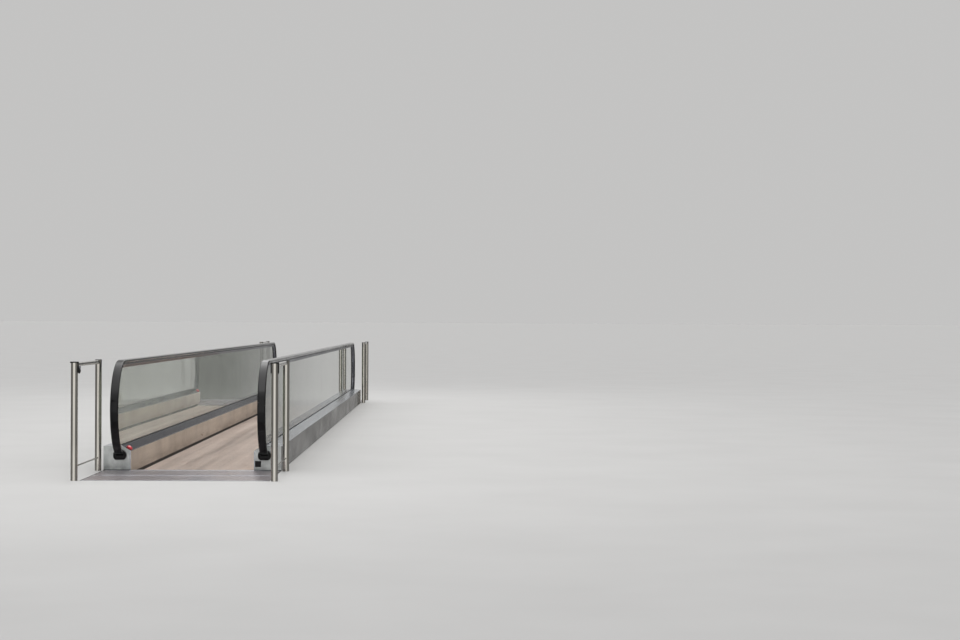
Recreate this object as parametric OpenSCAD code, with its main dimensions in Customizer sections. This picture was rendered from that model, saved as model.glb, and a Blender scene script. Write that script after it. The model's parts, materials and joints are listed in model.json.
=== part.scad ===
// Moving walkway with flat pallets, glass balustrades and tubular guard rails at its ends.
// The walkway runs along Y, X is across it and Z is up. The origin is at the centre of the
// footprint, on the underside of the base rails. One quarter is drawn and then mirrored.

/* [Pallet band] */
// Width of a pallet
pallet_w = 1200; // [800:10:1400]
// Length of one pallet, with the gap to the next
pallet_pitch = 400; // [200:10:500]
// Number of pallets between the ends of the band
pallet_count = 40; // [20:2:60]
// Gap between one pallet and the next
pallet_gap = 3; // [1:0.5:6]
// Thickness of a pallet, cleats included
pallet_t = 30; // [24:1:40]
// Height of the cleats on a pallet
cleat_h = 10; // [7:0.5:12]
// Thickness of a pallet below its grooves
tread_floor = 5; // [4:0.5:7]
// Width of the solid edge that a pallet runs on
pallet_edge = 60; // [56:1:90]
// Thickness of the ribs under a pallet
pallet_rib = 8; // [4:1:14]
// Distance from one cleat to the next
cleat_pitch = 9; // [8:0.5:12]
// Width of a groove between two cleats
groove_w = 6; // [5:0.25:6.5]
// Gap between the pallets and a skirt
skirt_gap = 4; // [2:0.5:6]

/* [Combs and landings] */
// Height of the landing above the pallets
landing_rise = 48; // [35:1:60]
// Slope of the comb and the comb plate, in degrees
comb_slope = 8; // [6.5:0.5:12]
// Length of the last pallet that the comb covers
comb_lap = 100; // [95:5:200]
// Distance from the tips of the comb to the face of the end boxes
comb_setback = 450; // [370:10:800]
// Number of comb segments side by side
comb_segments = 7; // [3:1:12]
// Length of the comb segments
comb_len = 90; // [60:5:100]
// Length of the comb teeth
tooth_len = 45; // [30:5:60]
// Width of a comb tooth
tooth_w = 3; // [2:0.25:4]
// How far the teeth reach down into the grooves
tooth_dip = 6; // [3:0.5:6.5]
// Thickness of the landing covers
cover_t = 20; // [12:1:25]
// How far the landing reaches beyond the end boxes
landing_reach = 1300; // [900:10:1800]
// Number of cover plates at each landing
cover_count = 2; // [1:1:5]
// Distance from one rib on the covers to the next
rib_pitch = 12.5; // [8:0.5:25]
// Width of the grooves between the ribs
rib_groove = 3; // [1:0.5:6]
// Depth of the grooves between the ribs
rib_d = 1.5; // [0.5:0.25:3]
// Width of the frame's edge that shows around the covers
frame_edge = 10; // [6:1:20]
// Gap round a cover plate
cover_gap = 1; // [0.5:0.5:3]

/* [Balustrade] */
// Distance from the inner face of the skirt to the outer cladding
housing_w = 268; // [250:2:320]
// Height of the skirt above the floor
skirt_h = 190; // [120:5:240]
// How far the skirt reaches below the floor
skirt_drop = 17; // [5:1:30]
// Height of the glass channel above the floor
deck_h = 250; // [220:2:320]
// Height of the outer cladding above the floor
cladding_h = 240; // [200:2:300]
// Distance from the inner face of the skirt to the middle of the glass
glass_offset = 105; // [100:1:120]
// Thickness of the glass
glass_t = 10; // [8:1:12]
// Number of glass panes between the two newel panes
pane_count = 4; // [2:1:8]
// Length of a newel pane behind the face of the end box
newel_pane_len = 2840; // [1500:10:3500]
// Gap between two panes
pane_gap = 4; // [2:0.5:8]
// Thickness of the sheet metal
sheet_t = 2.5; // [1.5:0.5:4]
// Number of bracket uprights on each side
bracket_count = 13; // [5:2:25]

/* [Handrail] */
// Height of the top of the handrail above the floor
handrail_h = 1085; // [900:5:1150]
// Width of the handrail
handrail_w = 80; // [70:1:90]
// Thickness of the handrail
handrail_t = 30; // [26:1:36]
// Outer radius of the newel ends
newel_r = 480; // [400:5:500]
// Distance of the newel's centre behind the face of the end box
newel_back = 96; // [60:2:150]
// Depth of the guide below the handrail
guide_d = 44; // [36:1:60]
// Width of the guide
guide_w = 46; // [40:1:60]
// How far the inlet stands out of the end box
inlet_d = 50; // [30:1:70]
// Width of the inlet
inlet_w = 130; // [110:1:140]
// Height of the inlet
inlet_h = 100; // [84:1:110]

/* [Guard rails] */
// Distance from the outer cladding to the middle of the guard posts
guard_offset = 48; // [40:1:80]
// Distance between the two posts of a guard
guard_len = 1265; // [800:5:1300]
// Height of the guard posts above the floor
guard_h = 1088; // [900:4:1200]
// Diameter of the posts
post_d = 64; // [42:1:70]
// Diameter of the top rail
top_rail_d = 40; // [26:1:50]
// Diameter of the low rail
low_rail_d = 16; // [10:1:30]
// Height of the low rail above the floor
low_rail_h = 128; // [60:4:200]
// Thickness of the foot plate of a post
foot_t = 10; // [6:1:16]

/* [Hidden] */

// Levels, from the underside up
track_t = 10;
track_w = 55;
comb_clear = 1;
tread_z = track_t + pallet_t;
floor_z = tread_z + landing_rise;
comb_z = tread_z + comb_clear;

// Places across the walkway, from the centre line outwards
seat_gap = 0.3;
skirt_x = pallet_w / 2 + skirt_gap;
glass_x = skirt_x + glass_offset;
cladding_x = skirt_x + housing_w;
guard_x = cladding_x + guard_offset;

// Places along the walkway, from the middle to an end
band_y = pallet_count * pallet_pitch / 2;
tip_y = band_y - comb_lap;
face_y = tip_y + comb_setback;
crest_y = tip_y + (floor_z - comb_z) / tan(comb_slope);
newel_y = face_y - newel_back;

// Handrail loop
rail_r = newel_r - handrail_t / 2;
rail_z = floor_z + handrail_h - newel_r;
slot_clear = 0.5;
lip_t = 9;
slot_w = handrail_w - 20;
slot_h = 11;
mouth_w = handrail_w / 2;
guide_top = -handrail_t / 2 - 2;
guide_bottom = guide_top - guide_d;
grip_d = 24;
glass_r = rail_r + guide_bottom + grip_d;
inlet_angle = asin((newel_back + inlet_d + 1) / (rail_r + guide_bottom));
inlet_z = rail_z - rail_r * cos(asin((newel_back + inlet_d / 2) / rail_r));

// Balustrade profile
channel_w = glass_t + 8;
channel_d = 50;
channel_top = floor_z + deck_h;
channel_bottom = channel_top - channel_d;
glass_bottom = channel_bottom + 6;
skirt_top = floor_z + skirt_h;
cladding_top = floor_z + cladding_h;
skirt_foot = floor_z - skirt_drop;
rail_wall = 4;
panel_t = 4;
deck_x1 = glass_x - channel_w / 2;
deck_z1 = channel_top - 2;
deck_lift = sheet_t / cos(atan((deck_z1 - skirt_top) / (deck_x1 - skirt_x)));
deck_slope = atan((deck_z1 - skirt_top - deck_lift) / (deck_x1 - skirt_x));
pane_len = 2 * (face_y - newel_pane_len) / pane_count;
$fn = 48;

// Mirrored copies of what is drawn at the right-hand far end
module far_left() { mirror([1, 0, 0]) children(); }
module near_right() { mirror([0, 1, 0]) children(); }
module near_left() { mirror([1, 0, 0]) mirror([0, 1, 0]) children(); }

// A profile drawn in X and Z, run along Y from one place to another
module run(y0, y1) {
    translate([0, y1, 0]) rotate([90, 0, 0]) linear_extrude(y1 - y0) children();
}

// A profile drawn outwards from the handrail's middle line, swept round the far newel
module newel_sweep(from_angle, to_angle) {
    translate([glass_x, newel_y, rail_z]) rotate([0, 90, 0])
        rotate([0, 0, from_angle])
            rotate_extrude(angle = to_angle - from_angle, $fn = 128)
                translate([rail_r, 0]) rotate(-90) children();
}

module round_rect(w, h, r) {
    square([w - 2 * r, h], center = true);
    square([w, h - 2 * r], center = true);
    for (sx = [-1, 1], sy = [-1, 1])
        translate([sx * (w / 2 - r), sy * (h / 2 - r)]) circle(r);
}

// Pockets that leave ribs along and across the underside of a pallet
pocket_count = 6;
module pallet_pockets(y0, y1) {
    pocket_w = (pallet_w - 2 * pallet_edge + pallet_rib) / pocket_count - pallet_rib;
    pocket_h = pallet_t - cleat_h - tread_floor;
    for (i = [0 : pocket_count - 1])
        translate([-pallet_w / 2 + pallet_edge + i * (pocket_w + pallet_rib), y0 + pallet_rib, track_t - 1])
            cube([pocket_w, y1 - y0 - 2 * pallet_rib, pocket_h + 1]);
}

// A pallet with a smooth top, one of the long row between the combs
module pallet_plate(index) {
    y0 = -band_y + index * pallet_pitch + pallet_gap / 2;
    y1 = y0 + pallet_pitch - pallet_gap;
    difference() {
        translate([-pallet_w / 2, y0, track_t]) cube([pallet_w, y1 - y0, pallet_t]);
        pallet_pockets(y0, y1);
    }
}

module pallets() {
    color("silver") for (i = [1 : pallet_count - 2]) pallet_plate(i);
}

// The last pallet, with the grooves that the comb's teeth run in
groove_count = floor((pallet_w - groove_w - 6) / cleat_pitch) + 1;
function groove_x(i) = (i - (groove_count - 1) / 2) * cleat_pitch;

module end_pallet_far() {
    y0 = band_y - pallet_pitch + pallet_gap / 2;
    y1 = band_y - pallet_gap / 2;
    color("silver") difference() {
        run(y0, y1) difference() {
            translate([-pallet_w / 2, track_t]) square([pallet_w, pallet_t]);
            for (i = [0 : groove_count - 1])
                translate([groove_x(i) - groove_w / 2, tread_z - cleat_h])
                    square([groove_w, cleat_h + 1]);
        }
        pallet_pockets(y0, y1);
    }
}

// Height of the slope from the comb's tips up to the landing, at a distance from the tips
function ramp_z(d) = comb_z + d * tan(comb_slope);
comb_w = pallet_w + 2 * skirt_gap - 2 * cover_gap;

// Comb segment: a wedge whose teeth run in the grooves of the last pallet
module comb_segment(first, last) {
    seam = 0.25;
    x0 = first == 0 ? -comb_w / 2 : groove_x(first) - cleat_pitch / 2 + seam;
    x1 = last == groove_count - 1 ? comb_w / 2 : groove_x(last) + cleat_pitch / 2 - seam;
    translate([x0, tip_y, 0]) rotate([90, 0, 90]) linear_extrude(x1 - x0) polygon([
        [tooth_len, comb_z],
        [comb_len, comb_z],
        [comb_len, ramp_z(comb_len)],
        [tooth_len, ramp_z(tooth_len)]
    ]);
    for (i = [first : last])
        translate([groove_x(i) - tooth_w / 2, tip_y, 0]) rotate([90, 0, 90])
            linear_extrude(tooth_w) polygon([
                [0, tread_z - tooth_dip],
                [tooth_len + 5, tread_z - tooth_dip],
                [tooth_len + 5, comb_z + 1],
                [tooth_len, ramp_z(tooth_len)],
                [3, tread_z - tooth_dip + 3]
            ]);
}

module comb_far() {
    color("gainsboro") for (i = [0 : comb_segments - 1])
        comb_segment(round(i * groove_count / comb_segments),
            round((i + 1) * groove_count / comb_segments) - 1);
}

// Comb plate: rises with the comb from the last pallet to the level of the landing
module comb_plate_far() {
    front_y = tip_y + comb_len + seat_gap;
    seat_y = band_y + pallet_gap + ledge_w;
    end_y = face_y + frame_edge;
    color("silver") translate([-comb_w / 2, 0, 0]) rotate([90, 0, 90]) linear_extrude(comb_w)
        polygon([
            [front_y, comb_z],
            [seat_y, comb_z],
            [crest_y, floor_z - cover_t],
            [end_y, floor_z - cover_t],
            [end_y, floor_z],
            [crest_y, floor_z],
            [front_y, ramp_z(front_y - tip_y)]
        ]);
}

// Landing frame: a tray with ledges under the covers and an edge round them, and a lower part
// between the balustrades that carries the comb plate at the height of the comb
ledge_w = 60;
module landing_frame_far() {
    bay = landing_reach / cover_count;
    low_y = band_y + pallet_gap;
    color("dimgray") difference() {
        union() {
            translate([-cladding_x, face_y, 0]) cube([2 * cladding_x, landing_reach, floor_z]);
            translate([-comb_w / 2, low_y, 0]) cube([comb_w, face_y - low_y + 1, comb_z]);
            translate([-comb_w / 2, crest_y, 0])
                cube([comb_w, face_y - crest_y + 1, floor_z - cover_t]);
        }
        translate([-cladding_x + frame_edge, face_y + frame_edge, floor_z - cover_t])
            cube([2 * (cladding_x - frame_edge), landing_reach - 2 * frame_edge, cover_t + 1]);
        translate([-comb_w / 2 - cover_gap, face_y - 1, floor_z - cover_t])
            cube([comb_w + 2 * cover_gap, frame_edge + 2, cover_t + 1]);
        for (i = [0 : cover_count - 1])
            translate([-cladding_x + ledge_w, face_y + i * bay + ledge_w / 2, -1])
                cube([2 * (cladding_x - ledge_w), bay - ledge_w, floor_z]);
        translate([-comb_w / 2 + ledge_w, low_y + ledge_w, -1])
            cube([comb_w - 2 * ledge_w, face_y - low_y - 1.5 * ledge_w, floor_z]);
    }
}

// Landing cover: a plate with ribs across the way people walk, drawn from one end to the other
module landing_cover(w, y0, y1) {
    rib_count = floor((y1 - y0 - 2 * rib_groove) / rib_pitch);
    first_y = (y0 + y1 - (rib_count - 1) * rib_pitch) / 2;
    translate([-w / 2, 0, 0]) rotate([90, 0, 90]) linear_extrude(w) difference() {
        translate([y0, floor_z - cover_t]) square([y1 - y0, cover_t]);
        for (i = [0 : rib_count - 1])
            translate([first_y + i * rib_pitch - rib_groove / 2, floor_z - rib_d])
                square([rib_groove, rib_d + 1]);
    }
}

module landing_covers_far() {
    bay = (landing_reach - 2 * frame_edge) / cover_count;
    full_w = 2 * (cladding_x - frame_edge - cover_gap);
    color("silver") for (i = [0 : cover_count - 1])
        landing_cover(full_w, face_y + frame_edge + i * bay + cover_gap,
            face_y + frame_edge + (i + 1) * bay - cover_gap);
}

// Base rail: a hollow rail under the balustrade. The skirt stands on its shoulder, so that a dark
// strip of it shows beside the pallets, and its foot is the track that carries them
module base_rail_right() {
    back_x = cladding_x - sheet_t;
    color("dimgray") {
        run(-face_y + seat_gap, face_y - seat_gap) difference() {
            polygon([
                [skirt_x, 0],
                [back_x, 0],
                [back_x, floor_z],
                [skirt_x + sheet_t, floor_z],
                [skirt_x + sheet_t, skirt_foot],
                [skirt_x, skirt_foot]
            ]);
            translate([skirt_x + sheet_t + rail_wall, rail_wall])
                square([back_x - skirt_x - sheet_t - 2 * rail_wall, floor_z - 2 * rail_wall]);
        }
        run(-band_y, band_y) translate([skirt_x - track_w, 0]) square([track_w + 1, track_t]);
    }
}

// Sheet panels of one length, with a hairline between them
module panels() {
    seam = 0.5;
    y_list = [for (i = [0 : pane_count]) -face_y + newel_pane_len + i * pane_len];
    run(-face_y + seat_gap, y_list[0] - seam) children();
    for (i = [0 : pane_count - 1]) run(y_list[i] + seam, y_list[i + 1] - seam) children();
    run(y_list[pane_count] + seam, face_y - seat_gap) children();
}

module skirt_right() {
    flange_w = 30;
    color("tan") panels() {
        translate([skirt_x, skirt_foot]) square([sheet_t, skirt_top - skirt_foot]);
        translate([skirt_x, floor_z]) square([flange_w, sheet_t]);
    }
}

// Inner deck: slopes from the top of the skirt up to the glass channel
module inner_deck_right() {
    foot_w = 4;
    color("slategray") panels() polygon([
        [skirt_x, skirt_top],
        [skirt_x + foot_w, skirt_top],
        [deck_x1, deck_z1 - deck_lift],
        [deck_x1, deck_z1],
        [skirt_x, skirt_top + deck_lift]
    ]);
}

// Glass channel with the uprights that carry it from the base rail
module glass_channel_right() {
    rail_clear = 8;
    upright_x = glass_x + handrail_w / 2 + rail_clear;
    upright_t = 12;
    bracket_w = 40;
    arm_t = 20;
    end_inset = 150;
    end_y = face_y - end_inset;
    step = 2 * end_y / (bracket_count - 1);
    arm_x = glass_x - channel_w / 2;
    color("gray") {
        run(-face_y + seat_gap, face_y - seat_gap) difference() {
            translate([glass_x - channel_w / 2, channel_bottom]) square([channel_w, channel_d]);
            translate([glass_x - glass_t / 2 - seat_gap, glass_bottom - seat_gap])
                square([glass_t + 2 * seat_gap, channel_d]);
        }
        for (i = [0 : bracket_count - 1])
            translate([0, -end_y + i * step - bracket_w / 2, 0]) {
                translate([upright_x, 0, floor_z])
                    cube([upright_t, bracket_w, channel_bottom - floor_z]);
                translate([arm_x, 0, channel_bottom - arm_t])
                    cube([upright_x + upright_t - arm_x, bracket_w, arm_t]);
            }
    }
}

module outer_deck_right() {
    x0 = glass_x + channel_w / 2;
    color("lightgray") panels() {
        polygon([
            [x0, channel_top - 2],
            [cladding_x, cladding_top],
            [cladding_x, cladding_top - sheet_t],
            [x0, channel_top - 2 - sheet_t]
        ]);
    }
}

module cladding_right() {
    color("darkgray") panels() {
        translate([cladding_x - sheet_t, 0]) square([sheet_t, cladding_top - sheet_t]);
    }
}

module glass_right() {
    color("lightcyan", 0.4) for (i = [0 : pane_count - 1])
        translate([0, -face_y + newel_pane_len + i * pane_len + pane_gap / 2, 0])
            run(0, pane_len - pane_gap)
                translate([glass_x - glass_t / 2, glass_bottom])
                    square([glass_t, rail_z + glass_r - glass_bottom]);
}

// Newel pane: straight behind the face of the end box, with a round end in front of it
module newel_pane() {
    y0 = face_y - newel_pane_len + pane_gap / 2;
    translate([glass_x - glass_t / 2, 0, 0])
        rotate([90, 0, 90]) linear_extrude(glass_t) difference() {
            union() {
                translate([newel_y, rail_z]) circle(glass_r, $fn = 128);
                translate([y0, rail_z - glass_r]) square([newel_y - y0, 2 * glass_r]);
            }
            translate([y0 - 1, 0]) square([face_y - y0 + 1, glass_bottom]);
            translate([face_y - 1, 0]) square([glass_r, inlet_z + inlet_h / 2 + 2]);
        }
}

module newel_glass_right() {
    color("lightcyan", 0.4) {
        newel_pane();
        near_right() newel_pane();
    }
}

// Handrail section: a flat C whose lips close round the head of the guide
module handrail_section() {
    difference() {
        round_rect(handrail_w, handrail_t, 12);
        translate([-slot_w / 2, -handrail_t / 2 + lip_t]) square([slot_w, slot_h]);
        translate([-mouth_w / 2, -handrail_t]) square([mouth_w, handrail_t]);
    }
}

module handrail_right() {
    color("black") {
        translate([glass_x, 0, rail_z + rail_r]) run(-newel_y, newel_y) handrail_section();
        translate([glass_x, 0, rail_z - rail_r]) run(-newel_y, newel_y)
            mirror([0, 1]) handrail_section();
        newel_sweep(0, 180) handrail_section();
        mirror([0, 1, 0]) newel_sweep(0, 180) handrail_section();
    }
}

// Guide section: the head that the handrail runs on, a neck, and a body that grips the glass
module guide_section() {
    head_bottom = -handrail_t / 2 + lip_t + slot_clear;
    head_w = slot_w - 2 * slot_clear;
    neck_w = mouth_w - 2 * slot_clear;
    grip_w = glass_t + 2 * seat_gap;
    difference() {
        union() {
            translate([-head_w / 2, head_bottom]) square([head_w, slot_h - 2 * slot_clear]);
            translate([-neck_w / 2, guide_top - 1]) square([neck_w, head_bottom - guide_top + 2]);
            polygon([
                [-guide_w / 2, guide_top],
                [guide_w / 2, guide_top],
                [guide_w / 2, guide_top - 14],
                [glass_t / 2 + 4, guide_bottom],
                [-glass_t / 2 - 4, guide_bottom],
                [-guide_w / 2, guide_top - 14]
            ]);
        }
        translate([-grip_w / 2, guide_bottom - 1])
            square([grip_w, 1 + grip_d + seat_gap]);
    }
}

module guide_right() {
    color("lightsteelblue") {
        translate([glass_x, 0, rail_z + rail_r]) run(-newel_y, newel_y) guide_section();
        newel_sweep(inlet_angle, 180) guide_section();
        mirror([0, 1, 0]) newel_sweep(inlet_angle, 180) guide_section();
    }
}

// The space that the handrail passes through at the foot of the newel
module handrail_passage() {
    newel_sweep(0, 40) round_rect(handrail_w + 2 * slot_clear, handrail_t + 2 * slot_clear, 12);
}

// Front panel: closes the housing, with its edge following the skirt, decks and cladding
module front_panel_far_right() {
    color("gainsboro") difference() {
        run(face_y, face_y + panel_t) polygon([
            [skirt_x, floor_z],
            [cladding_x, floor_z],
            [cladding_x, cladding_top],
            [glass_x + channel_w / 2, channel_top],
            [glass_x - channel_w / 2, channel_top],
            [skirt_x, skirt_top + sheet_t]
        ]);
        handrail_passage();
        translate([glass_x - glass_t / 2 - 1, face_y - 1, inlet_z + inlet_h / 2])
            cube([glass_t + 2, panel_t + 2, inlet_h]);
    }
}

// Front view of an inlet: an arch on a foot with rounded corners
module inlet_outline() {
    r_top = 0.54 * inlet_h;
    r_low = 0.44 * inlet_h;
    translate([-inlet_w / 2, -inlet_h / 2 + r_low]) square([inlet_w, inlet_h - r_low - r_top]);
    for (sx = [-1, 1]) {
        translate([sx * (inlet_w / 2 - r_top), inlet_h / 2 - r_top]) circle(r_top);
        translate([sx * (inlet_w / 2 - r_low), -inlet_h / 2 + r_low]) circle(r_low);
    }
    translate([-inlet_w / 2 + r_low, -inlet_h / 2]) square([inlet_w - 2 * r_low, inlet_h / 2]);
    translate([-inlet_w / 2 + r_top, 0]) square([inlet_w - 2 * r_top, inlet_h / 2]);
}

// Inlet: a rounded boot that the handrail runs into
module inlet_far_right() {
    boot_y = face_y + panel_t;
    color("black") difference() {
        intersection() {
            translate([glass_x, 0, inlet_z]) run(boot_y, boot_y + inlet_d) inlet_outline();
            translate([glass_x - inlet_w / 2 - 1, boot_y, inlet_z]) rotate([90, 0, 90])
                linear_extrude(inlet_w + 2) round_rect(2 * inlet_d, inlet_h, 26);
            translate([glass_x, boot_y, inlet_z - inlet_h / 2 - 1])
                linear_extrude(inlet_h + 2) round_rect(inlet_w, 2 * inlet_d, 30);
        }
        handrail_passage();
    }
}

// Guard: two posts on foot plates, a top rail and a low rail
module guard_far_right() {
    back_y = face_y + post_d / 2;
    foot_w = 2 * (guard_offset - seat_gap);
    cap_t = 3;
    color("silver") translate([guard_x, back_y, 0]) {
        for (y = [0, guard_len]) translate([0, y, 0]) {
            cylinder(d = post_d, h = floor_z + guard_h - cap_t);
            translate([0, 0, floor_z + guard_h - cap_t]) cylinder(d = post_d - 3, h = cap_t);
            translate([-foot_w / 2, -foot_w / 2, 0]) cube([foot_w, foot_w, foot_t]);
        }
        translate([0, 0, floor_z + guard_h - cap_t - top_rail_d / 2]) rotate([-90, 0, 0])
            cylinder(d = top_rail_d, h = guard_len);
        translate([0, 0, floor_z + low_rail_h]) rotate([-90, 0, 0])
            cylinder(d = low_rail_d, h = guard_len);
    }
}

// Stop button: a domed cap in a collar on the slope of the inner deck
module stop_button() {
    collar_d = 66;
    collar_t = 5;
    cap_d = 56;
    cap_t = 14;
    dome_r = 40;
    dome_drop = sqrt(dome_r * dome_r - cap_d * cap_d / 4);
    edge_gap = 5;
    set_back = 105;
    translate([skirt_x, face_y - set_back, skirt_top + deck_lift])
        rotate([0, -deck_slope, 0]) translate([edge_gap + collar_d / 2, 0, seat_gap]) {
        cylinder(d = collar_d, h = collar_t);
        cylinder(d = cap_d, h = cap_t);
        intersection() {
            translate([0, 0, cap_t - dome_drop]) sphere(dome_r);
            cylinder(d = cap_d, h = 2 * cap_t);
        }
    }
}

module stop_buttons() {
    color("red") {
        near_left() stop_button();
        stop_button();
    }
}

// Entry sensor: a square window on the front panel
module entry_sensor() {
    side = 59;
    inset = 41;
    height = 68;
    translate([skirt_x + inset - side / 2, face_y + panel_t, floor_z + height - side / 2])
        cube([side, 5, side]);
}

module entry_sensors() {
    color("black") {
        near_right() entry_sensor();
        far_left() entry_sensor();
    }
}

far_left() base_rail_right();  // base_rail_left
base_rail_right();
pallets();
near_right() end_pallet_far();  // end_pallet_near
end_pallet_far();
near_right() comb_far();  // comb_near
comb_far();
near_right() comb_plate_far();  // comb_plate_near
comb_plate_far();
near_right() landing_frame_far();  // landing_frame_near
landing_frame_far();
near_right() landing_covers_far();  // landing_covers_near
landing_covers_far();
far_left() skirt_right();  // skirt_left
skirt_right();
far_left() inner_deck_right();  // inner_deck_left
inner_deck_right();
far_left() glass_channel_right();  // glass_channel_left
glass_channel_right();
far_left() outer_deck_right();  // outer_deck_left
outer_deck_right();
far_left() cladding_right();  // cladding_left
cladding_right();
far_left() glass_right();  // glass_left
glass_right();
far_left() newel_glass_right();  // newel_glass_left
newel_glass_right();
far_left() guide_right();  // guide_left
guide_right();
far_left() handrail_right();  // handrail_left
handrail_right();
near_left() front_panel_far_right();  // front_panel_near_left
near_right() front_panel_far_right();  // front_panel_near_right
far_left() front_panel_far_right();  // front_panel_far_left
front_panel_far_right();
near_left() inlet_far_right();  // inlet_near_left
near_right() inlet_far_right();  // inlet_near_right
far_left() inlet_far_right();  // inlet_far_left
inlet_far_right();
near_left() guard_far_right();  // guard_near_left
near_right() guard_far_right();  // guard_near_right
far_left() guard_far_right();  // guard_far_left
guard_far_right();
stop_buttons();
entry_sensors();
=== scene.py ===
import json
import math

import bmesh
import bpy
from mathutils import Matrix, Vector


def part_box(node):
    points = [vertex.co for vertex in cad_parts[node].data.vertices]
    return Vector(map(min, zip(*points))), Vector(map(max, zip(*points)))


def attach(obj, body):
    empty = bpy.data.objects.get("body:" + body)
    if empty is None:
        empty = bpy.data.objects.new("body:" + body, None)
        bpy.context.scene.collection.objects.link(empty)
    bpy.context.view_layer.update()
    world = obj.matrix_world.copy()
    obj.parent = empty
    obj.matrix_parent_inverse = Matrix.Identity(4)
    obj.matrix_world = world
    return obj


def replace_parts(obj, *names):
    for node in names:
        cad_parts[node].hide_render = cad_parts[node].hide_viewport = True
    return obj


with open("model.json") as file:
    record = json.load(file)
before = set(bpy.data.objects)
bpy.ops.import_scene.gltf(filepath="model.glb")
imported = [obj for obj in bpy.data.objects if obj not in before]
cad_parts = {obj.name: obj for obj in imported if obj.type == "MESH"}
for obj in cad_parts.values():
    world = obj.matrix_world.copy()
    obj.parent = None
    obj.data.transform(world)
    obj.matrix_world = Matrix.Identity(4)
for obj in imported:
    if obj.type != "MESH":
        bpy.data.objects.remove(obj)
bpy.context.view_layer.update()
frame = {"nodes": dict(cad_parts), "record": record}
NODES = frame["nodes"]
MM = 0.001


# Places and levels, read from the frame

FLOOR_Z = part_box("landing_covers_near")[1].z
TREAD_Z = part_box("pallets")[1].z
FACE_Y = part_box("base_rail_right")[1].y
LANDING_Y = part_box("landing_frame_far")[1].y
HOUSING_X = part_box("cladding_right")[1].x
SKIRT_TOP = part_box("skirt_right")[1].z
GLASS_X0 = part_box("glass_right")[0].x
GLASS_X1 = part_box("glass_right")[1].x
GLASS_X = (GLASS_X0 + GLASS_X1) / 2
GLASS_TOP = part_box("glass_right")[1].z
CHANNEL_X0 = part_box("glass_channel_right")[0].x
CHANNEL_X1 = 2 * GLASS_X - CHANNEL_X0
CHANNEL_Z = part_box("glass_channel_right")[1].z
PANEL_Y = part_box("front_panel_far_right")[1].y


# Camera: where the photograph was taken from

PHOTO_W, PHOTO_H = 960, 640
FOCAL_PX = 2050
VANISHING_PX = (456.6, 321)
EYE_HEIGHT = 1.483
EYE_RIGHT = 2.590
EYE_BEFORE_FACE = 20.18
ROLL = math.radians(0.25)
SENSOR_MM = 36
SIGHT = 2000


def make_camera():
    data = bpy.data.cameras.new("photo_camera")
    data.sensor_width = SENSOR_MM
    data.lens = FOCAL_PX * SENSOR_MM / PHOTO_W
    data.clip_end = SIGHT
    camera = bpy.data.objects.new("photo_camera", data)
    camera.location = (EYE_RIGHT, -FACE_Y - EYE_BEFORE_FACE, FLOOR_Z + EYE_HEIGHT)
    turn = math.atan((PHOTO_W / 2 - VANISHING_PX[0]) / FOCAL_PX)
    lift = math.atan((VANISHING_PX[1] - PHOTO_H / 2) / FOCAL_PX)
    camera.rotation_euler = (math.pi / 2 + lift, -ROLL, -turn)
    bpy.context.collection.objects.link(camera)
    bpy.context.scene.camera = camera


# Materials

# A noise texture's values lie mostly between these two.
NOISE_LOW, NOISE_HIGH = 0.3, 0.7

# Stretched noises, by how often they change in a metre in X, Y and Z: the lines of brushed metal
# along the walkway and upright, the clouds from wiping it, and the patches in which dirt lies.
ALONG = (420, 3, 420)
UPRIGHT = (420, 420, 3)
CLOUDS = (1.1, 0.7, 2.3)
DIRT_PATCHES = (9, 1.3, 14)

# The sockets of a Mix node that blends colours.
MIX_FACTOR, MIX_FIRST, MIX_SECOND, MIX_RESULT = 0, 6, 7, 2


def linear(r, g, b):
    """A colour as it looks, in 0 to 255, turned into the shader's linear values."""
    def channel(value):
        value /= 255
        return value / 12.92 if value <= 0.04045 else ((value + 0.055) / 1.055) ** 2.4
    return (channel(r), channel(g), channel(b), 1)


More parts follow.
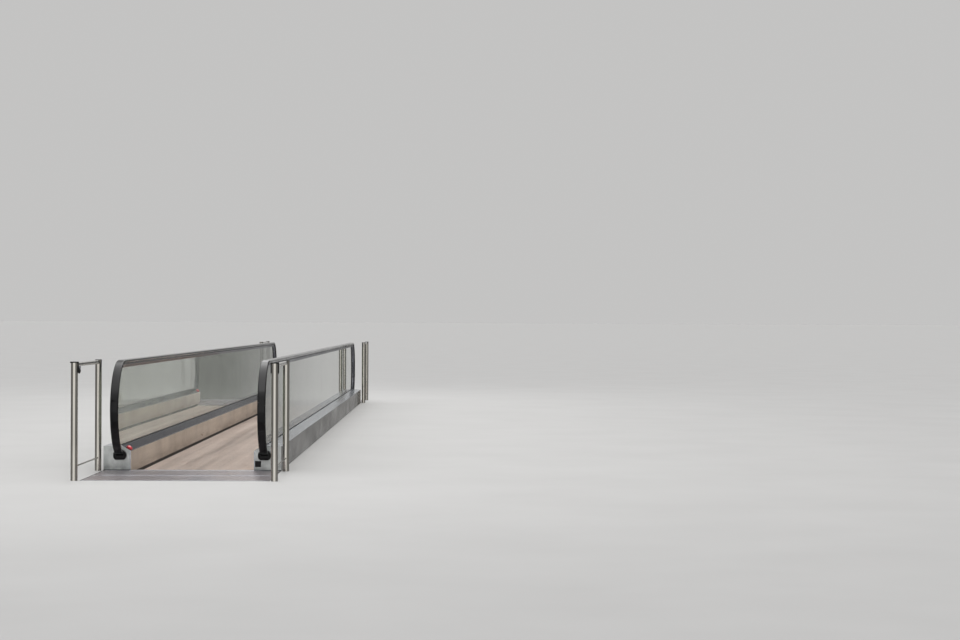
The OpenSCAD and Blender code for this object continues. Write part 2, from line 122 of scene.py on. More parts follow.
class Finish:
    """A material whose colour, roughness and relief come from textures on Object coordinates."""

    def __init__(self, name, metallic=0.0, **sockets):
        self.material = bpy.data.materials.new(name)
        self.material.use_nodes = True
        self.tree = self.material.node_tree
        self.shader = self.tree.nodes["Principled BSDF"]
        self.shader.inputs["Metallic"].default_value = metallic
        for socket, value in sockets.items():
            self.shader.inputs[socket.replace("_", " ")].default_value = value
        self.place = self.tree.nodes.new("ShaderNodeTexCoord").outputs["Object"]

    def noise(self, scale, detail=3.0, roughness=0.55):
        mapping = self.tree.nodes.new("ShaderNodeMapping")
        mapping.inputs["Scale"].default_value = scale
        self.tree.links.new(self.place, mapping.inputs["Vector"])
        texture = self.tree.nodes.new("ShaderNodeTexNoise")
        texture.inputs["Scale"].default_value = 1.0
        texture.inputs["Detail"].default_value = detail
        texture.inputs["Roughness"].default_value = roughness
        self.tree.links.new(mapping.outputs["Vector"], texture.inputs["Vector"])
        return texture.outputs["Fac"]

    def even_noise(self, scale, detail):
        """Noise that is as fine in every direction."""
        return self.noise((scale, scale, scale), detail)

    def colours(self, fac, *stops):
        """A blend of colours, each with its place between 0 and 1."""
        ramp = self.tree.nodes.new("ShaderNodeValToRGB")
        elements = ramp.color_ramp.elements
        while len(elements) < len(stops):
            elements.new(0.5)
        for element, (position, colour) in zip(elements, stops):
            element.position = position
            element.color = colour
        self.tree.links.new(fac, ramp.inputs["Fac"])
        return ramp.outputs["Color"]

    def blended(self, fac, dark, light):
        """One colour passing into another over a noise's middle range."""
        return self.colours(fac, (NOISE_LOW, dark), (NOISE_HIGH, light))

    def levels(self, fac, low, high, start=NOISE_LOW, end=NOISE_HIGH):
        """The range from start to end stretched over low to high."""
        stretch = self.tree.nodes.new("ShaderNodeMapRange")
        for socket, value in (("From Min", start), ("From Max", end),
                              ("To Min", low), ("To Max", high)):
            stretch.inputs[socket].default_value = value
        self.tree.links.new(fac, stretch.inputs["Value"])
        return stretch.outputs["Result"]

    def height(self, low, high):
        """Goes from 1 at the height low to 0 at the height high."""
        split = self.tree.nodes.new("ShaderNodeSeparateXYZ")
        self.tree.links.new(self.place, split.inputs[0])
        return self.levels(split.outputs["Z"], 1.0, 0.0, low, high)

    def product(self, first, second):
        node = self.tree.nodes.new("ShaderNodeMath")
        node.operation = "MULTIPLY"
        self.tree.links.new(first, node.inputs[0])
        self.tree.links.new(second, node.inputs[1])
        return node.outputs[0]

    def mixed(self, fac, first, second, blend="MIX"):
        mix = self.tree.nodes.new("ShaderNodeMix")
        mix.data_type = "RGBA"
        mix.blend_type = blend
        for socket, value in ((MIX_FACTOR, fac), (MIX_FIRST, first), (MIX_SECOND, second)):
            if hasattr(value, "is_output"):
                self.tree.links.new(value, mix.inputs[socket])
            else:
                mix.inputs[socket].default_value = value
        return mix.outputs[MIX_RESULT]

    def attribute(self, name):
        node = self.tree.nodes.new("ShaderNodeAttribute")
        node.attribute_name = name
        return node.outputs["Fac"]

    def relief(self, height, strength, distance):
        bump = self.tree.nodes.new("ShaderNodeBump")
        bump.inputs["Strength"].default_value = strength
        bump.inputs["Distance"].default_value = distance
        self.tree.links.new(height, bump.inputs["Height"])
        self.tree.links.new(bump.outputs["Normal"], self.shader.inputs["Normal"])

    def feed(self, socket, output):
        self.tree.links.new(output, self.shader.inputs[socket])


def brushed_metal(name, dark, light, roughness, grain, metallic=0.85, cloud=0.35, dirt=None,
                  smears_and_reflections=None, **sockets):
    """Ground or brushed sheet: fine lines along the grain, and faint clouds from wiping.

    The smears are a colour and the scale of the soft bands in which it lies over the sheet:
    wiping marks, and on the skirts and cladding painted reflections.
    dirt is a colour and the two heights between which it fades out upwards."""
    finish = Finish(name, metallic, **sockets)
    lines = finish.noise(grain, detail=2.0)
    clouds = finish.noise(CLOUDS, detail=4.0)
    base = finish.blended(lines, dark, light)
    cloudy = finish.blended(clouds, dark, light)
    surface = finish.mixed(cloud, base, cloudy)
    if smears_and_reflections:
        colour, scale = smears_and_reflections
        # Soft darker bands over the sheet: wiping marks, and painted reflections on the skirts
        # and cladding.
        streaks_and_reflections = finish.levels(finish.noise(scale, detail=3.0), 0.0, 0.8, start=0.38, end=0.68)
        surface = finish.mixed(streaks_and_reflections, surface, colour)
    if dirt:
        colour, low, high = dirt
        patches = finish.levels(finish.noise(DIRT_PATCHES, detail=5.0), 0.15, 1.0)
        surface = finish.mixed(finish.product(finish.height(low, high), patches), surface, colour)
    finish.feed("Base Color", surface)
    finish.feed("Roughness", finish.levels(clouds, roughness * 0.8, roughness * 1.25))
    finish.relief(lines, strength=0.25, distance=0.2 * MM)
    return finish.material


def pallet_metal():
    """Worn die-cast tread: long dark streak bands, partly wear from feet and partly painted
    reflection, and a shade of its own for each pallet.
    """
    finish = Finish("pallet_metal", metallic=0.12)
    # The long bands are partly wear from feet and partly painted reflection: their darker parts
    # stand in for reflections on the treads.
    streaks_and_reflections = finish.noise((6, 0.15, 1), detail=5.0)
    fine = finish.noise((420, 9, 60), detail=2.0)
    base = finish.colours(streaks_and_reflections,
                          (0.34, linear(192, 179, 169)),
                          (0.5, linear(225, 211, 201)),
                          (0.66, linear(243, 231, 222)))
    worn = finish.blended(fine, linear(196, 180, 169), linear(246, 233, 224))
    shade = finish.colours(finish.attribute("shade"),
                           (0.0, (1, 1, 1, 1)),
                           (1.0, (0.95, 0.945, 0.94, 1)))
    surface = finish.mixed(0.3, base, worn)
    finish.feed("Base Color", finish.mixed(1.0, surface, shade, "MULTIPLY"))
    finish.feed("Roughness", finish.levels(streaks_and_reflections, 0.34, 0.52))
    finish.relief(fine, strength=0.3, distance=0.3 * MM)
    return finish.material


def landing_metal():
    """Ribbed covers in lilac grey, browner in places, with painted highlights in lines across."""
    finish = Finish("landing_metal", metallic=0.6)
    tint = finish.noise((1.9, 0.5, 1), detail=2.0)
    lines = finish.noise((2.4, 7.5, 1), detail=5.0)
    fine = finish.noise((8, 320, 60), detail=2.0)
    base = finish.colours(tint,
                          (0.35, linear(122, 118, 123)),
                          (0.5, linear(138, 129, 131)),
                          (0.65, linear(147, 134, 130)))
    worn = finish.blended(fine, linear(116, 110, 112), linear(172, 166, 166))
    # Lines across the covers are made lighter: painted highlights.
    bright = finish.levels(lines, 0.0, 0.75, start=0.52, end=0.68)
    with_painted_highlights = finish.mixed(bright, base, linear(198, 189, 190))
    finish.feed("Base Color", finish.mixed(0.25, with_painted_highlights, worn))
    finish.feed("Roughness", finish.levels(lines, 0.42, 0.24))
    finish.relief(fine, strength=0.3, distance=0.3 * MM)
    return finish.material


def frame_paint():
    """Dull dark grey paint, a little mottled."""
    finish = Finish("frame_paint", Specular_IOR_Level=0.3)
    mottle = finish.even_noise(40, detail=4.0)
    finish.feed("Base Color", finish.blended(mottle, linear(22, 22, 23), linear(36, 35, 35)))
    finish.feed("Roughness", finish.levels(mottle, 0.55, 0.75))
    finish.relief(mottle, strength=0.2, distance=0.4 * MM)
    return finish.material


def clear_glass():
    """Toughened glass with a faint grey-green body and finger marks that dull it a little."""
    finish = Finish("clear_glass", Transmission_Weight=1.0, IOR=1.45)
    marks = finish.noise((2.3, 1.7, 2.9), detail=5.0)
    finish.feed("Base Color", finish.blended(marks, linear(186, 190, 182), linear(203, 207, 199)))
    finish.feed("Roughness", finish.levels(marks, 0.0, 0.03, start=0.45, end=0.75))
    return finish.material


def handrail_rubber():
    """Smooth black handrail, polished by hands, with faint dull patches."""
    finish = Finish("handrail_rubber", Specular_IOR_Level=0.22)
    patches = finish.noise((9, 2.2, 9), detail=4.0)
    pores = finish.even_noise(700, detail=1.0)
    finish.feed("Base Color", finish.blended(patches, linear(11, 12, 14), linear(19, 19, 20)))
    finish.feed("Roughness", finish.levels(patches, 0.07, 0.14))
    finish.relief(pores, strength=0.02, distance=0.1 * MM)
    return finish.material


def moulded_black(name, grey, roughness):
    """Moulded rubber or plastic with a fine grain, paler where dust lies."""
    finish = Finish(name, Specular_IOR_Level=0.25)
    grain = finish.even_noise(500, detail=2.0)
    dust = finish.even_noise(14, detail=5.0)
    dusty = grey + 10
    finish.feed("Base Color", finish.colours(dust,
                                             (0.35, linear(grey, grey, grey + 1)),
                                             (0.75, linear(dusty, dusty, dusty))))
    finish.feed("Roughness", finish.levels(dust, roughness * 0.85, roughness * 1.2))
    finish.relief(grain, strength=0.15, distance=0.3 * MM)
    return finish.material


def button_red():
    """Glossy red plastic, a little worn by touch."""
    finish = Finish("button_red", Coat_Weight=0.5, Coat_Roughness=0.08)
    wear = finish.even_noise(60, detail=4.0)
    finish.feed("Base Color", finish.blended(wear, linear(208, 44, 54), linear(230, 74, 82)))
    finish.feed("Roughness", finish.levels(wear, 0.14, 0.24))
    return finish.material


FINISHES = {
    "frame_steel": frame_paint(),
    "pallet_metal": pallet_metal(),
    "comb_metal": brushed_metal(
        "comb_metal", linear(170, 164, 158), linear(214, 209, 202), roughness=0.26, grain=ALONG,
        metallic=0.75),
    "landing_metal": landing_metal(),
    # The skirts' smears are partly painted reflections: soft darker bands along the sheet.
    "skirt_steel": brushed_metal(
        "skirt_steel", linear(212, 200, 186), linear(238, 226, 213), roughness=0.34, grain=ALONG,
        metallic=0.4, smears_and_reflections=(linear(186, 173, 161), (1, 1.3, 0.9)),
        dirt=(linear(132, 118, 104), FLOOR_Z - 0.01, FLOOR_Z + 0.11)),
    "deck_metal": brushed_metal(
        "deck_metal", linear(66, 66, 70), linear(86, 86, 90), roughness=0.16, grain=ALONG,
        metallic=0.75, cloud=0.2, Specular_Tint=(0.24, 0.24, 0.26, 1), Specular_IOR_Level=0.1),
    "channel_metal": brushed_metal(
        "channel_metal", linear(52, 52, 52), linear(76, 76, 75), roughness=0.34, grain=ALONG,
        metallic=0.8, Specular_Tint=(0.4, 0.4, 0.4, 1)),
    "outer_deck_metal": brushed_metal(
        "outer_deck_metal", linear(170, 174, 180), linear(200, 204, 210), roughness=0.2,
        grain=ALONG),
    # The cladding's smears are painted reflections: darker brownish bands along the sheet.
    "cladding_steel": brushed_metal(
        "cladding_steel", linear(134, 130, 124), linear(166, 162, 155), roughness=0.18,
        grain=ALONG, smears_and_reflections=(linear(110, 105, 98), (1, 1.6, 0.9)),
        dirt=(linear(84, 78, 70), FLOOR_Z, FLOOR_Z + 0.09)),
    "glass": clear_glass(),
    "guide_metal": brushed_metal(
        "guide_metal", linear(92, 93, 98), linear(128, 129, 135), roughness=0.2, grain=ALONG,
        Specular_Tint=(0.5, 0.5, 0.52, 1)),
    "handrail_rubber": handrail_rubber(),
    "front_panel_steel": brushed_metal(
        "front_panel_steel", linear(204, 207, 204), linear(230, 233, 230), roughness=0.34,
        grain=UPRIGHT, metallic=0.5, smears_and_reflections=(linear(168, 172, 172), (11, 1, 7)),
        dirt=(linear(104, 108, 106), FLOOR_Z, FLOOR_Z + 0.14)),
    "inlet_rubber": moulded_black("inlet_rubber", grey=10, roughness=0.34),
    "guard_steel": brushed_metal(
        "guard_steel", linear(176, 172, 164), linear(214, 211, 204), roughness=0.12,
        grain=UPRIGHT, metallic=1.0, cloud=0.2),
    "button_red": button_red(),
    "sensor_black": moulded_black("sensor_black", grey=6, roughness=0.16),
}


def dress_nodes():
    """Gives each CAD node the finish of its slot."""
    for row in frame["record"]["subparts"]:
        materials = NODES[row["node"]].data.materials
        finish = FINISHES[row["material_slot"]]
        if not materials:
            materials.append(finish)
        for i in range(len(materials)):
            materials[i] = finish


# Tools for the pieces made here

def of_type(geometry, kind):
    return [item for item in geometry if isinstance(item, kind)]


def edges_of(verts):
    return list(dict.fromkeys(edge for vert in verts for edge in vert.link_edges))


def outline_block(bm, outline, length):
    """A closed block: an outline of corners, drawn out along a vector."""
    face = bm.faces.new([bm.verts.new(corner) for corner in outline])
    drawn = bmesh.ops.extrude_face_region(bm, geom=[face])
    verts = of_type(drawn["geom"], bmesh.types.BMVert)
    bmesh.ops.translate(bm, verts=verts, vec=length)
    return list(face.verts) + verts


def soften(bm, edges, width, segments=2):
    bmesh.ops.bevel(bm, geom=edges, offset=width, affect="EDGES", segments=segments,
                    profile=0.5, material=-1)


def block(bm, low, high, bevel, segments=2):
    """A box from its lowest to its highest corner, with all its edges rounded."""
    low, high = Vector(low), Vector(high)
    place = Matrix.Translation((low + high) / 2) @ Matrix.Diagonal((*(high - low), 1))
    verts = bmesh.ops.create_cube(bm, size=1.0, matrix=place)["verts"]
    soften(bm, edges_of(verts), bevel, segments)


def rod(bm, place, radius, length, sides, end_radius=None):
    """A closed round bar, in the middle of a place and along that place's own Z."""
    return bmesh.ops.create_cone(bm, cap_ends=True, segments=sides, radius1=radius,
                                 radius2=radius if end_radius is None else end_radius,
                                 depth=length, matrix=place)["verts"]


SCREW_TAPER = 0.86
SCREW_RIM = 0.45
SCREW_RECESS = 0.7


def screw_head(bm, place, radius, rise, sides=16):
    """A low screw head with a round recess, standing on a surface along the place's own Z."""
    verts = rod(bm, place @ Matrix.Translation((0, 0, rise / 2)), radius, rise, sides,
                SCREW_TAPER * radius)
    up = place.to_3x3() @ Vector((0, 0, 1))
    faces = dict.fromkeys(face for vert in verts for face in vert.link_faces)
    top = max(faces, key=lambda face: face.calc_center_median().dot(up))
    bmesh.ops.inset_individual(bm, faces=[top], thickness=SCREW_RIM * radius)
    sunk = bmesh.ops.extrude_discrete_faces(bm, faces=[top])["faces"]
    bmesh.ops.translate(bm, verts=list(sunk[0].verts), vec=-SCREW_RECESS * rise * up)


def mirror_copies(bm, across=False, along=False):
    """Adds the mirrored copies of everything so far, across the walkway or from end to end."""
    for wanted, scale in ((across, (-1, 1, 1)), (along, (1, -1, 1))):
        if wanted:
            everything = bm.verts[:] + bm.edges[:] + bm.faces[:]
            copy = bmesh.ops.duplicate(bm, geom=everything)["geom"]
            bmesh.ops.scale(bm, verts=of_type(copy, bmesh.types.BMVert), vec=scale)
            bmesh.ops.reverse_faces(bm, faces=of_type(copy, bmesh.types.BMFace))


def add_piece(name, bm, slot):
    """Makes the finished piece from its mesh, with its normals outward, riding on the walkway."""
    bmesh.ops.recalc_face_normals(bm, faces=bm.faces)
    mesh = bpy.data.meshes.new(name)
    bm.to_mesh(mesh)
    bm.free()
    mesh.materials.append(FINISHES[slot])
    piece = bpy.data.objects.new(name, mesh)
    bpy.context.collection.objects.link(piece)
    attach(piece, "root")
    return piece


# Treads: every pallet gets its cleats, as the last ones have in the frame

CLEAT_PITCH = 9 * MM
CLEAT_H = 10 * MM
GROOVE_W = 6 * MM
TREAD_MARGIN = 6 * MM
PALLET_PITCH = 400 * MM
PALLET_GAP = 3 * MM
PALLET_EDGE = 60 * MM
PALLET_RIB = 8 * MM
POCKET_COUNT = 6
POCKET_H = 15 * MM
FOOT_TOLERANCE = 0.1 * MM
SHADE_STEP = 0.618


def tread_outline(low, high):
    """The end view of a pallet: its pockets marked along the foot, grooves along the top."""
    left = low.x + PALLET_EDGE - PALLET_RIB / 2
    right = high.x - PALLET_EDGE + PALLET_RIB / 2
    outline = [Vector((high.x, low.y, low.z))]
    for i in range(POCKET_COUNT, -1, -1):
        outline.append(Vector((left + (right - left) * i / POCKET_COUNT, low.y, low.z)))
    outline += [Vector((low.x, low.y, low.z)), Vector((low.x, low.y, high.z))]
    count = int((high.x - low.x - GROOVE_W - TREAD_MARGIN) / CLEAT_PITCH) + 1
    for i in range(count):
        middle = (i - (count - 1) / 2) * CLEAT_PITCH
        for side, sunk in ((-1, 0), (-1, 1), (1, 1), (1, 0)):
            outline.append(Vector((middle + side * GROOVE_W / 2, low.y, high.z - sunk * CLEAT_H)))
    outline.append(Vector((high.x, low.y, high.z)))
    return outline


def sink_pockets(bm, low, high):
    """The pockets under a pallet, between its ribs."""
    bm.faces.ensure_lookup_table()
    strips = [face for face in bm.faces
              if all(abs(vert.co.z - low.z) < FOOT_TOLERANCE for vert in face.verts)
              and abs(face.calc_center_median().x) < high.x - PALLET_EDGE]
    bmesh.ops.inset_individual(bm, faces=strips, thickness=PALLET_RIB / 2)
    for face in strips:
        middle = face.calc_center_median().y
        for vert in face.verts:
            vert.co.y += math.copysign(PALLET_RIB / 2, middle - vert.co.y)
    for face in bmesh.ops.extrude_discrete_faces(bm, faces=strips)["faces"]:
        bmesh.ops.translate(bm, verts=list(face.verts), vec=(0, 0, POCKET_H))


def pallet_treads():
    low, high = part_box("pallets")
    count = round((high.y - low.y + PALLET_GAP) / PALLET_PITCH)
    bm = bmesh.new()
    shade = bm.faces.layers.float.new("shade")
    outline_block(bm, tread_outline(low, high), Vector((0, PALLET_PITCH - PALLET_GAP, 0)))
    sink_pockets(bm, low, high)
    first = bm.verts[:] + bm.edges[:] + bm.faces[:]
    for i in range(1, count):
        copy = bmesh.ops.duplicate(bm, geom=first)["geom"]
        bmesh.ops.translate(bm, verts=of_type(copy, bmesh.types.BMVert),
                            vec=(0, i * PALLET_PITCH, 0))
        for face in of_type(copy, bmesh.types.BMFace):
            face[shade] = (i * SHADE_STEP) % 1
    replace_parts(add_piece("pallet_treads", bm, "pallet_metal"), "pallets")


# Seals and trim of the balustrades

GASKET_H = 6 * MM
PANE_COUNT = 4
PANE_GAP = 4 * MM
PANE_SEAL_W = 3.6 * MM
PANE_SEAL_INSET = 1 * MM
GUIDE_GRIP = 24 * MM


def glass_gaskets():
    """Black strips that close the channel on both sides of the glass."""
    bm = bmesh.new()
    for x0, x1 in ((CHANNEL_X0, GLASS_X0), (GLASS_X1, CHANNEL_X1)):
        block(bm, (x0, -FACE_Y, CHANNEL_Z), (x1, FACE_Y, CHANNEL_Z + GASKET_H), bevel=1.4 * MM)
    mirror_copies(bm, across=True)
    add_piece("glass_gaskets", bm, "inlet_rubber")


def pane_seals():
    """Soft strips in the gaps between the panes, from the channel up to the guide."""
    low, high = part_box("glass_right")
    first_y = low.y - PANE_GAP / 2
    step = (high.y - low.y + PANE_GAP) / PANE_COUNT
    x0, x1 = GLASS_X0 + PANE_SEAL_INSET, GLASS_X1 - PANE_SEAL_INSET
    z0, z1 = CHANNEL_Z + PANE_SEAL_INSET, GLASS_TOP - GUIDE_GRIP - PANE_SEAL_INSET
    bm = bmesh.new()
    for i in range(PANE_COUNT + 1):
        y = first_y + i * step
        block(bm, (x0, y - PANE_SEAL_W / 2, z0), (x1, y + PANE_SEAL_W / 2, z1), bevel=0.4 * MM)
    mirror_copies(bm, across=True)
    add_piece("pane_seals", bm, "inlet_rubber")


def deck_beads():
    """A bright bead along the lower edge of each inner deck."""
    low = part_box("inner_deck_right")[0]
    radius, inward, lift, sides = 2.6 * MM, 1.6 * MM, 3.7 * MM, 12
    bm = bmesh.new()
    place = (Matrix.Translation((low.x + inward, 0, low.z + lift))
             @ Matrix.Rotation(math.pi / 2, 4, "X"))
    verts = rod(bm, place, radius, 2 * FACE_Y, sides)
    ends = [edge for edge in edges_of(verts)
            if abs(edge.verts[0].co.y - edge.verts[1].co.y) < radius]
    soften(bm, ends, width=0.8 * MM)
    mirror_copies(bm, across=True)
    add_piece("deck_beads", bm, "outer_deck_metal")


def panel_foot_seals_and_shade():
    """Black strips that close the joint between the front panels and the landing; they also stand
    in for the shade in that joint.
    """
    low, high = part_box("front_panel_far_right")
    inset, thick, tall = 1 * MM, 4 * MM, 9 * MM
    bm = bmesh.new()
    # Black strips that are partly painted shade: they darken the joint under the panels.
    block(bm, (low.x + inset, PANEL_Y, FLOOR_Z),
          (high.x - inset, PANEL_Y + thick, FLOOR_Z + tall), bevel=1.5 * MM)
    mirror_copies(bm, across=True, along=True)
    add_piece("panel_foot_seals_and_shade", bm, "inlet_rubber")


def panel_edge_trims():
    """Bright upright strips that cap the front panels beside the skirts."""
    inset, wide, thick, foot, below_top = 1 * MM, 8 * MM, 3 * MM, 10 * MM, 3 * MM
    x0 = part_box("front_panel_far_right")[0].x + inset
    bm = bmesh.new()
    block(bm, (x0, PANEL_Y, FLOOR_Z + foot),
          (x0 + wide, PANEL_Y + thick, SKIRT_TOP - below_top), bevel=1.2 * MM, segments=3)
    mirror_copies(bm, across=True, along=True)
    add_piece("panel_edge_trims", bm, "outer_deck_metal")


def glass_shoes():
    """Bright cheeks, with two screws each, that hold the glass where it ends above the inlets."""
    above_inlet, beyond_panel = 2 * MM, 4 * MM
    thick, tall, long = 11 * MM, 30 * MM, 40 * MM
    foot_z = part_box("inlet_far_right")[1].z + above_inlet
    y0 = PANEL_Y + beyond_panel
    bm = bmesh.new()
    for side, x0 in ((-1, GLASS_X0), (1, GLASS_X1)):
        x1 = x0 + side * thick
        turn = Matrix.Rotation(side * math.pi / 2, 4, "Y")
        block(bm, (min(x0, x1), y0, foot_z), (max(x0, x1), y0 + long, foot_z + tall),
              bevel=1.6 * MM, segments=3)
        for part in (0.28, 0.72):
            middle = Matrix.Translation((x1, y0 + part * long, foot_z + tall / 2))
            screw_head(bm, middle @ turn, radius=3.5 * MM, rise=1.2 * MM, sides=12)
    mirror_copies(bm, across=True, along=True)
    add_piece("glass_shoes", bm, "outer_deck_metal")


# Screws and trims of the combs and covers

COMB_SEGMENTS = 7
COMB_SLOPE = math.radians(8)
COMB_FOOT = 1 * MM
COVERS = 2


def comb_screws():
    """Two screws in each segment of a comb, square to its slope."""
    low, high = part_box("comb_far")
    set_back = 67 * MM
    z = TREAD_Z + COMB_FOOT + set_back * math.tan(COMB_SLOPE)
    tilt = Matrix.Rotation(COMB_SLOPE, 4, "X")
    step = (high.x - low.x) / COMB_SEGMENTS
    bm = bmesh.new()
    for i in range(COMB_SEGMENTS):
        for part in (0.25, 0.75):
            place = Matrix.Translation((low.x + (i + part) * step, low.y + set_back, z))
            screw_head(bm, place @ tilt, radius=5.5 * MM, rise=1.1 * MM)
    mirror_copies(bm, along=True)
    add_piece("comb_screws", bm, "guard_steel")


def cover_screws():
    """A row of screws along the front and the back edge of each landing cover."""
    low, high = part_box("landing_covers_far")
    row, inset = 5, 22 * MM
    length = (high.y - low.y) / COVERS
    bm = bmesh.new()
    for i in range(COVERS):
        for y in (low.y + i * length + inset, low.y + (i + 1) * length - inset):
            for j in range(row):
                x = low.x + inset + (high.x - low.x - 2 * inset) * j / (row - 1)
                place = Matrix.Translation((x, y, FLOOR_Z))
                screw_head(bm, place, radius=6 * MM, rise=0.9 * MM)
    mirror_copies(bm, along=True)
    add_piece("cover_screws", bm, "guard_steel")


def landing_trims():
    """Low polished bars over the joints across the landing, and along its front edge."""
    low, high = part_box("landing_covers_far")
    wide, rise, overhang = 16 * MM, 2.6 * MM, 3 * MM
    bm = bmesh.new()
    for y in (low.y, (low.y + high.y) / 2, high.y - wide / 2 + overhang):
        block(bm, (low.x, y - wide / 2, FLOOR_Z), (high.x, y + wide / 2, FLOOR_Z + rise),
              bevel=1.1 * MM, segments=3)
    mirror_copies(bm, along=True)
    add_piece("landing_trims", bm, "outer_deck_metal")


# Fittings of the guards

POST_R = 32 * MM
CAP_H = 7 * MM
CAP_RISE = 2 * MM
CAP_LAP = 0.6 * MM
STRAP_GAP = 0.8 * MM
STRAP_T = 6 * MM
STRAP_W = 24 * MM
STRAP_LEG = 97 * MM
STRAP_SHORT_LEG = 10 * MM
STRAP_TOP_T = 4 * MM
STRAP_CHAMFER = 3 * MM
GRIP_HALF = Vector((15 * MM, 11 * MM, 30 * MM))
GRIP_NARROWING = 0.62
GRIP_CURVE = 1.2


def post_tops(node):
    """The tops of a guard's two posts, in the middle, the outermost first."""
    low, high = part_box(node)
    half = (high.x - low.x) / 2
    outer_first = sorted((low.y + half, high.y - half), key=abs, reverse=True)
    return [Vector(((low.x + high.x) / 2, y, high.z)) for y in outer_first]


def post_caps():
    """Thin black caps on the posts, rounded at the rim."""
    bm = bmesh.new()
    for top in post_tops("guard_far_right"):
        place = Matrix.Translation(top + Vector((0, 0, CAP_RISE - CAP_H / 2)))
        verts = rod(bm, place, POST_R + CAP_LAP, CAP_H, sides=48)
        rim = [edge for edge in edges_of(verts)
               if min(vert.co.z for vert in edge.verts) > top.z]
        soften(bm, rim, width=1.5 * MM, segments=3)
    mirror_copies(bm, across=True, along=True)
    add_piece("post_caps", bm, "sensor_black")


def strap_clip(bm, top, left_leg):
    """A U-shaped clip over a post's top, with legs down its sides."""
    inner = POST_R + STRAP_GAP
    outer = inner + STRAP_T
    under, over = top.z + CAP_RISE, top.z + CAP_RISE + STRAP_TOP_T
    left_foot, right_foot = under - left_leg, top.z - STRAP_LEG
    corners = ((-outer, left_foot), (-inner, left_foot), (-inner, under), (inner, under),
               (inner, right_foot), (outer, right_foot),
               (outer, over - STRAP_CHAMFER), (outer - STRAP_CHAMFER, over),
               (STRAP_CHAMFER - outer, over), (-outer, over - STRAP_CHAMFER))
    outline = [Vector((top.x + x, top.y - STRAP_W / 2, z)) for x, z in corners]
    verts = outline_block(bm, outline, Vector((0, STRAP_W, 0)))
    soften(bm, edges_of(verts), width=1.2 * MM)


def guard_clips():
    """Black clips on the outermost posts of the near guards, the left with a drop-shaped grip."""
    bm = bmesh.new()
    left, right = post_tops("guard_near_left")[0], post_tops("guard_near_right")[0]
    strap_clip(bm, left, STRAP_SHORT_LEG)
    strap_clip(bm, right, STRAP_LEG)
    grip_x, grip_z = POST_R + STRAP_T + 6 * MM, 22 * MM - STRAP_LEG
    centre = left + Vector((grip_x, 0, grip_z))
    drop = bmesh.ops.create_uvsphere(bm, u_segments=24, v_segments=16, radius=1.0)["verts"]
    for vert in drop:
        narrow = 1 - GRIP_NARROWING * max(0.0, vert.co.z) ** GRIP_CURVE
        vert.co = centre + Vector((vert.co.x * GRIP_HALF.x * narrow,
                                   vert.co.y * GRIP_HALF.y * narrow,
                                   vert.co.z * GRIP_HALF.z))
    add_piece("guard_clips", bm, "inlet_rubber")


def clip_tag():
    """A pale metal tag beside the left clip."""
    top = post_tops("guard_near_left")[0]
    wide, thick, high_edge, low_edge = 20 * MM, 3 * MM, 34 * MM, 60 * MM
    x0 = top.x + POST_R + STRAP_T + STRAP_GAP
    bm = bmesh.new()
    block(bm, (x0, top.y - thick / 2, top.z - low_edge),
          (x0 + wide, top.y + thick / 2, top.z - high_edge), bevel=1.2 * MM, segments=3)
    add_piece("clip_tag", bm, "guide_metal")


# Stage

FLOOR_NEAR, FLOOR_FAR = linear(189, 188, 186), linear(193, 192, 190)
FLOOR_REACH = 1500
FLOOR_GAP = 1.5 * MM


def stage_floor():
    """The finished floor, level with the landings and open where the walkway is let in."""
    opening = (HOUSING_X + FLOOR_GAP, LANDING_Y + FLOOR_GAP)
    corners = ((-1, -1), (1, -1), (1, 1), (-1, 1))
    bm = bmesh.new()
    inner, outer = ([bm.verts.new((side * x, end * y, FLOOR_Z)) for side, end in corners]
                    for x, y in (opening, (FLOOR_REACH, FLOOR_REACH)))
    for i in range(4):
        j = (i + 1) % 4
        bm.faces.new((inner[i], inner[j], outer[j], outer[i]))
    bmesh.ops.recalc_face_normals(bm, faces=bm.faces)
    mesh = bpy.data.meshes.new("stage_floor")
    bm.to_mesh(mesh)
    bm.free()
    finish = Finish("stage_floor", Roughness=0.75, Specular_IOR_Level=0.1)
    mottle = finish.even_noise(0.8, detail=3.0)
    finish.feed("Base Color", finish.blended(mottle, FLOOR_NEAR, FLOOR_FAR))
    mesh.materials.append(finish.material)
    floor = bpy.data.objects.new("stage_floor", mesh)
    floor.visible_glossy = False
    bpy.context.collection.objects.link(floor)


# Light: a pale room with soft lamps over the walkway. Metal and glass see a room that is darker
# to the sides and brighter overhead and behind the camera.

ROOM_COLOUR = (0.55, 0.547, 0.542, 1)
DAYLIGHT = (0.98, 0.985, 1.0, 1)
SIDE_LEVEL = 0.34
BELOW_LEVEL = 1.15
AHEAD_LEFT_LEVEL = 0.95
AHEAD_RIGHT_LEVEL = 0.12
BEHIND_LEVEL = 2.0
OVERHEAD_LEVEL = 4.5

# Where one level passes into the next, as parts of a direction whose length is 1.
SIDE_EDGE = (0.4, 0.75)
OVERHEAD_EDGE = (0.45, 0.8)
AHEAD_EDGE = (-0.6, 0.6)
RIGHT_EDGE = (0.06, 0.12)
FLOOR_EDGE = (-0.16, -0.06)


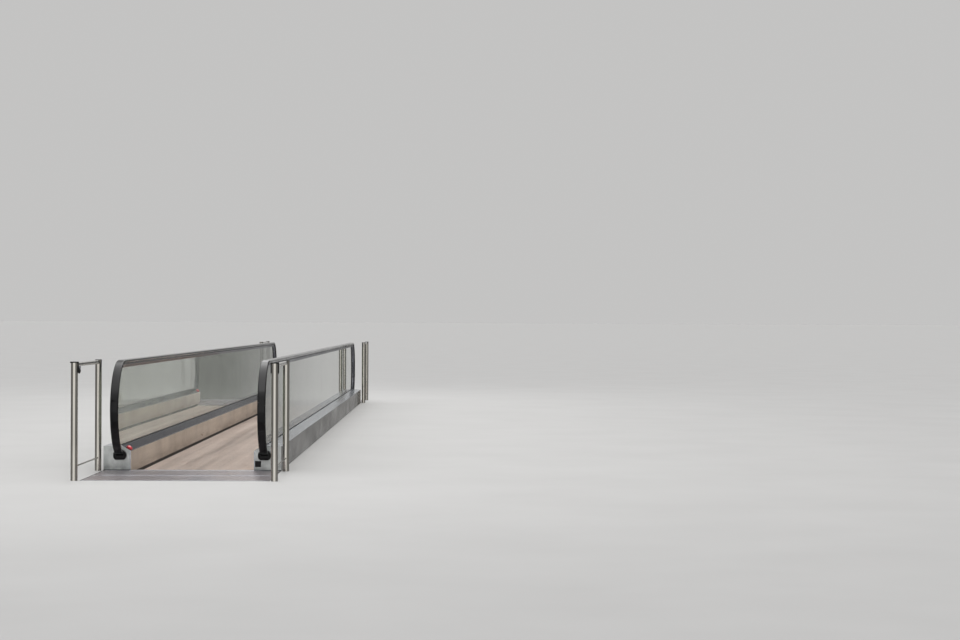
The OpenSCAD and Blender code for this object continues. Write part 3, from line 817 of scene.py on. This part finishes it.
def make_world():
    world = bpy.data.worlds.new("studio")
    bpy.context.scene.world = world
    world.use_nodes = True
    tree = world.node_tree
    nodes, links = tree.nodes, tree.links

    def background(colour, strength):
        node = nodes.new("ShaderNodeBackground")
        node.inputs["Color"].default_value = colour
        node.inputs["Strength"].default_value = strength
        return node.outputs[0]

    def maths(operation, first, second=None):
        node = nodes.new("ShaderNodeMath")
        node.operation = operation
        for socket, value in ((0, first), (1, second)):
            if hasattr(value, "is_output"):
                links.new(value, node.inputs[socket])
            elif value is not None:
                node.inputs[socket].default_value = value
        return node.outputs[0]

    def smooth_step(value, edge):
        node = nodes.new("ShaderNodeMapRange")
        node.interpolation_type = "SMOOTHSTEP"
        node.inputs["From Min"].default_value = edge[0]
        node.inputs["From Max"].default_value = edge[1]
        links.new(value, node.inputs["Value"])
        return node.outputs[0]

    def blend(fac, first, second):
        node = nodes.new("ShaderNodeMixShader")
        links.new(fac, node.inputs[0])
        links.new(first, node.inputs[1])
        links.new(second, node.inputs[2])
        return node.outputs[0]

    direction = nodes.new("ShaderNodeSeparateXYZ")
    links.new(nodes.new("ShaderNodeTexCoord").outputs["Generated"], direction.inputs[0])
    x, y, z = (direction.outputs[axis] for axis in "XYZ")
    forward = blend(smooth_step(x, RIGHT_EDGE),
                    background(ROOM_COLOUR, AHEAD_LEFT_LEVEL),
                    background(ROOM_COLOUR, AHEAD_RIGHT_LEVEL))
    lengthwise = blend(smooth_step(y, AHEAD_EDGE), background(ROOM_COLOUR, BEHIND_LEVEL), forward)
    walls = blend(smooth_step(maths("ABSOLUTE", x), SIDE_EDGE),
                  lengthwise, background(ROOM_COLOUR, SIDE_LEVEL))
    upper = blend(smooth_step(z, OVERHEAD_EDGE), walls, background(ROOM_COLOUR, OVERHEAD_LEVEL))
    seen_in_metal = blend(smooth_step(z, FLOOR_EDGE),
                          background(ROOM_COLOUR, BELOW_LEVEL), upper)

    path = nodes.new("ShaderNodeLightPath")
    unreflected = maths("LESS_THAN", path.outputs["Glossy Depth"], 0.5)
    through_glass = maths("MULTIPLY", path.outputs["Is Transmission Ray"], unreflected)
    reflected = maths("SUBTRACT", path.outputs["Is Transmission Ray"], through_glass)
    mirrored = maths("MAXIMUM", path.outputs["Is Glossy Ray"], reflected)
    shown = maths("MAXIMUM", path.outputs["Is Camera Ray"], through_glass)
    lit = blend(mirrored, background(DAYLIGHT, 1.0), seen_in_metal)
    links.new(blend(shown, lit, background(ROOM_COLOUR, 1.0)),
              nodes["World Output"].inputs["Surface"])
    nodes.remove(nodes["Background"])


LAMP_Z = 6.0
LAMP_LENGTH = 28
MIDDLE_LAMP_WIDTH, MIDDLE_LAMP_POWER = 3.0, 345
SIDE_LAMP_X, SIDE_LAMP_WIDTH, SIDE_LAMP_POWER = 5.0, 1.2, 38


def ceiling_lamp(name, x, width, power):
    """A long soft lamp over the walkway, which the camera doesn't show."""
    data = bpy.data.lights.new(name, "AREA")
    data.shape = "RECTANGLE"
    data.size = width
    data.size_y = LAMP_LENGTH
    data.energy = power
    lamp = bpy.data.objects.new(name, data)
    lamp.location = (x, 0, LAMP_Z)
    lamp.visible_camera = False
    bpy.context.collection.objects.link(lamp)


make_camera()
make_world()
ceiling_lamp("ceiling_lamp_middle", 0.0, MIDDLE_LAMP_WIDTH, MIDDLE_LAMP_POWER)
ceiling_lamp("ceiling_lamp_left", -SIDE_LAMP_X, SIDE_LAMP_WIDTH, SIDE_LAMP_POWER)
ceiling_lamp("ceiling_lamp_right", SIDE_LAMP_X, SIDE_LAMP_WIDTH, SIDE_LAMP_POWER)
stage_floor()
dress_nodes()
pallet_treads()
glass_gaskets()
pane_seals()
deck_beads()
panel_foot_seals_and_shade()
panel_edge_trims()
glass_shoes()
comb_screws()
cover_screws()
landing_trims()
post_caps()
guard_clips()
clip_tag()

bpy.context.scene.view_settings.view_transform = "Standard"
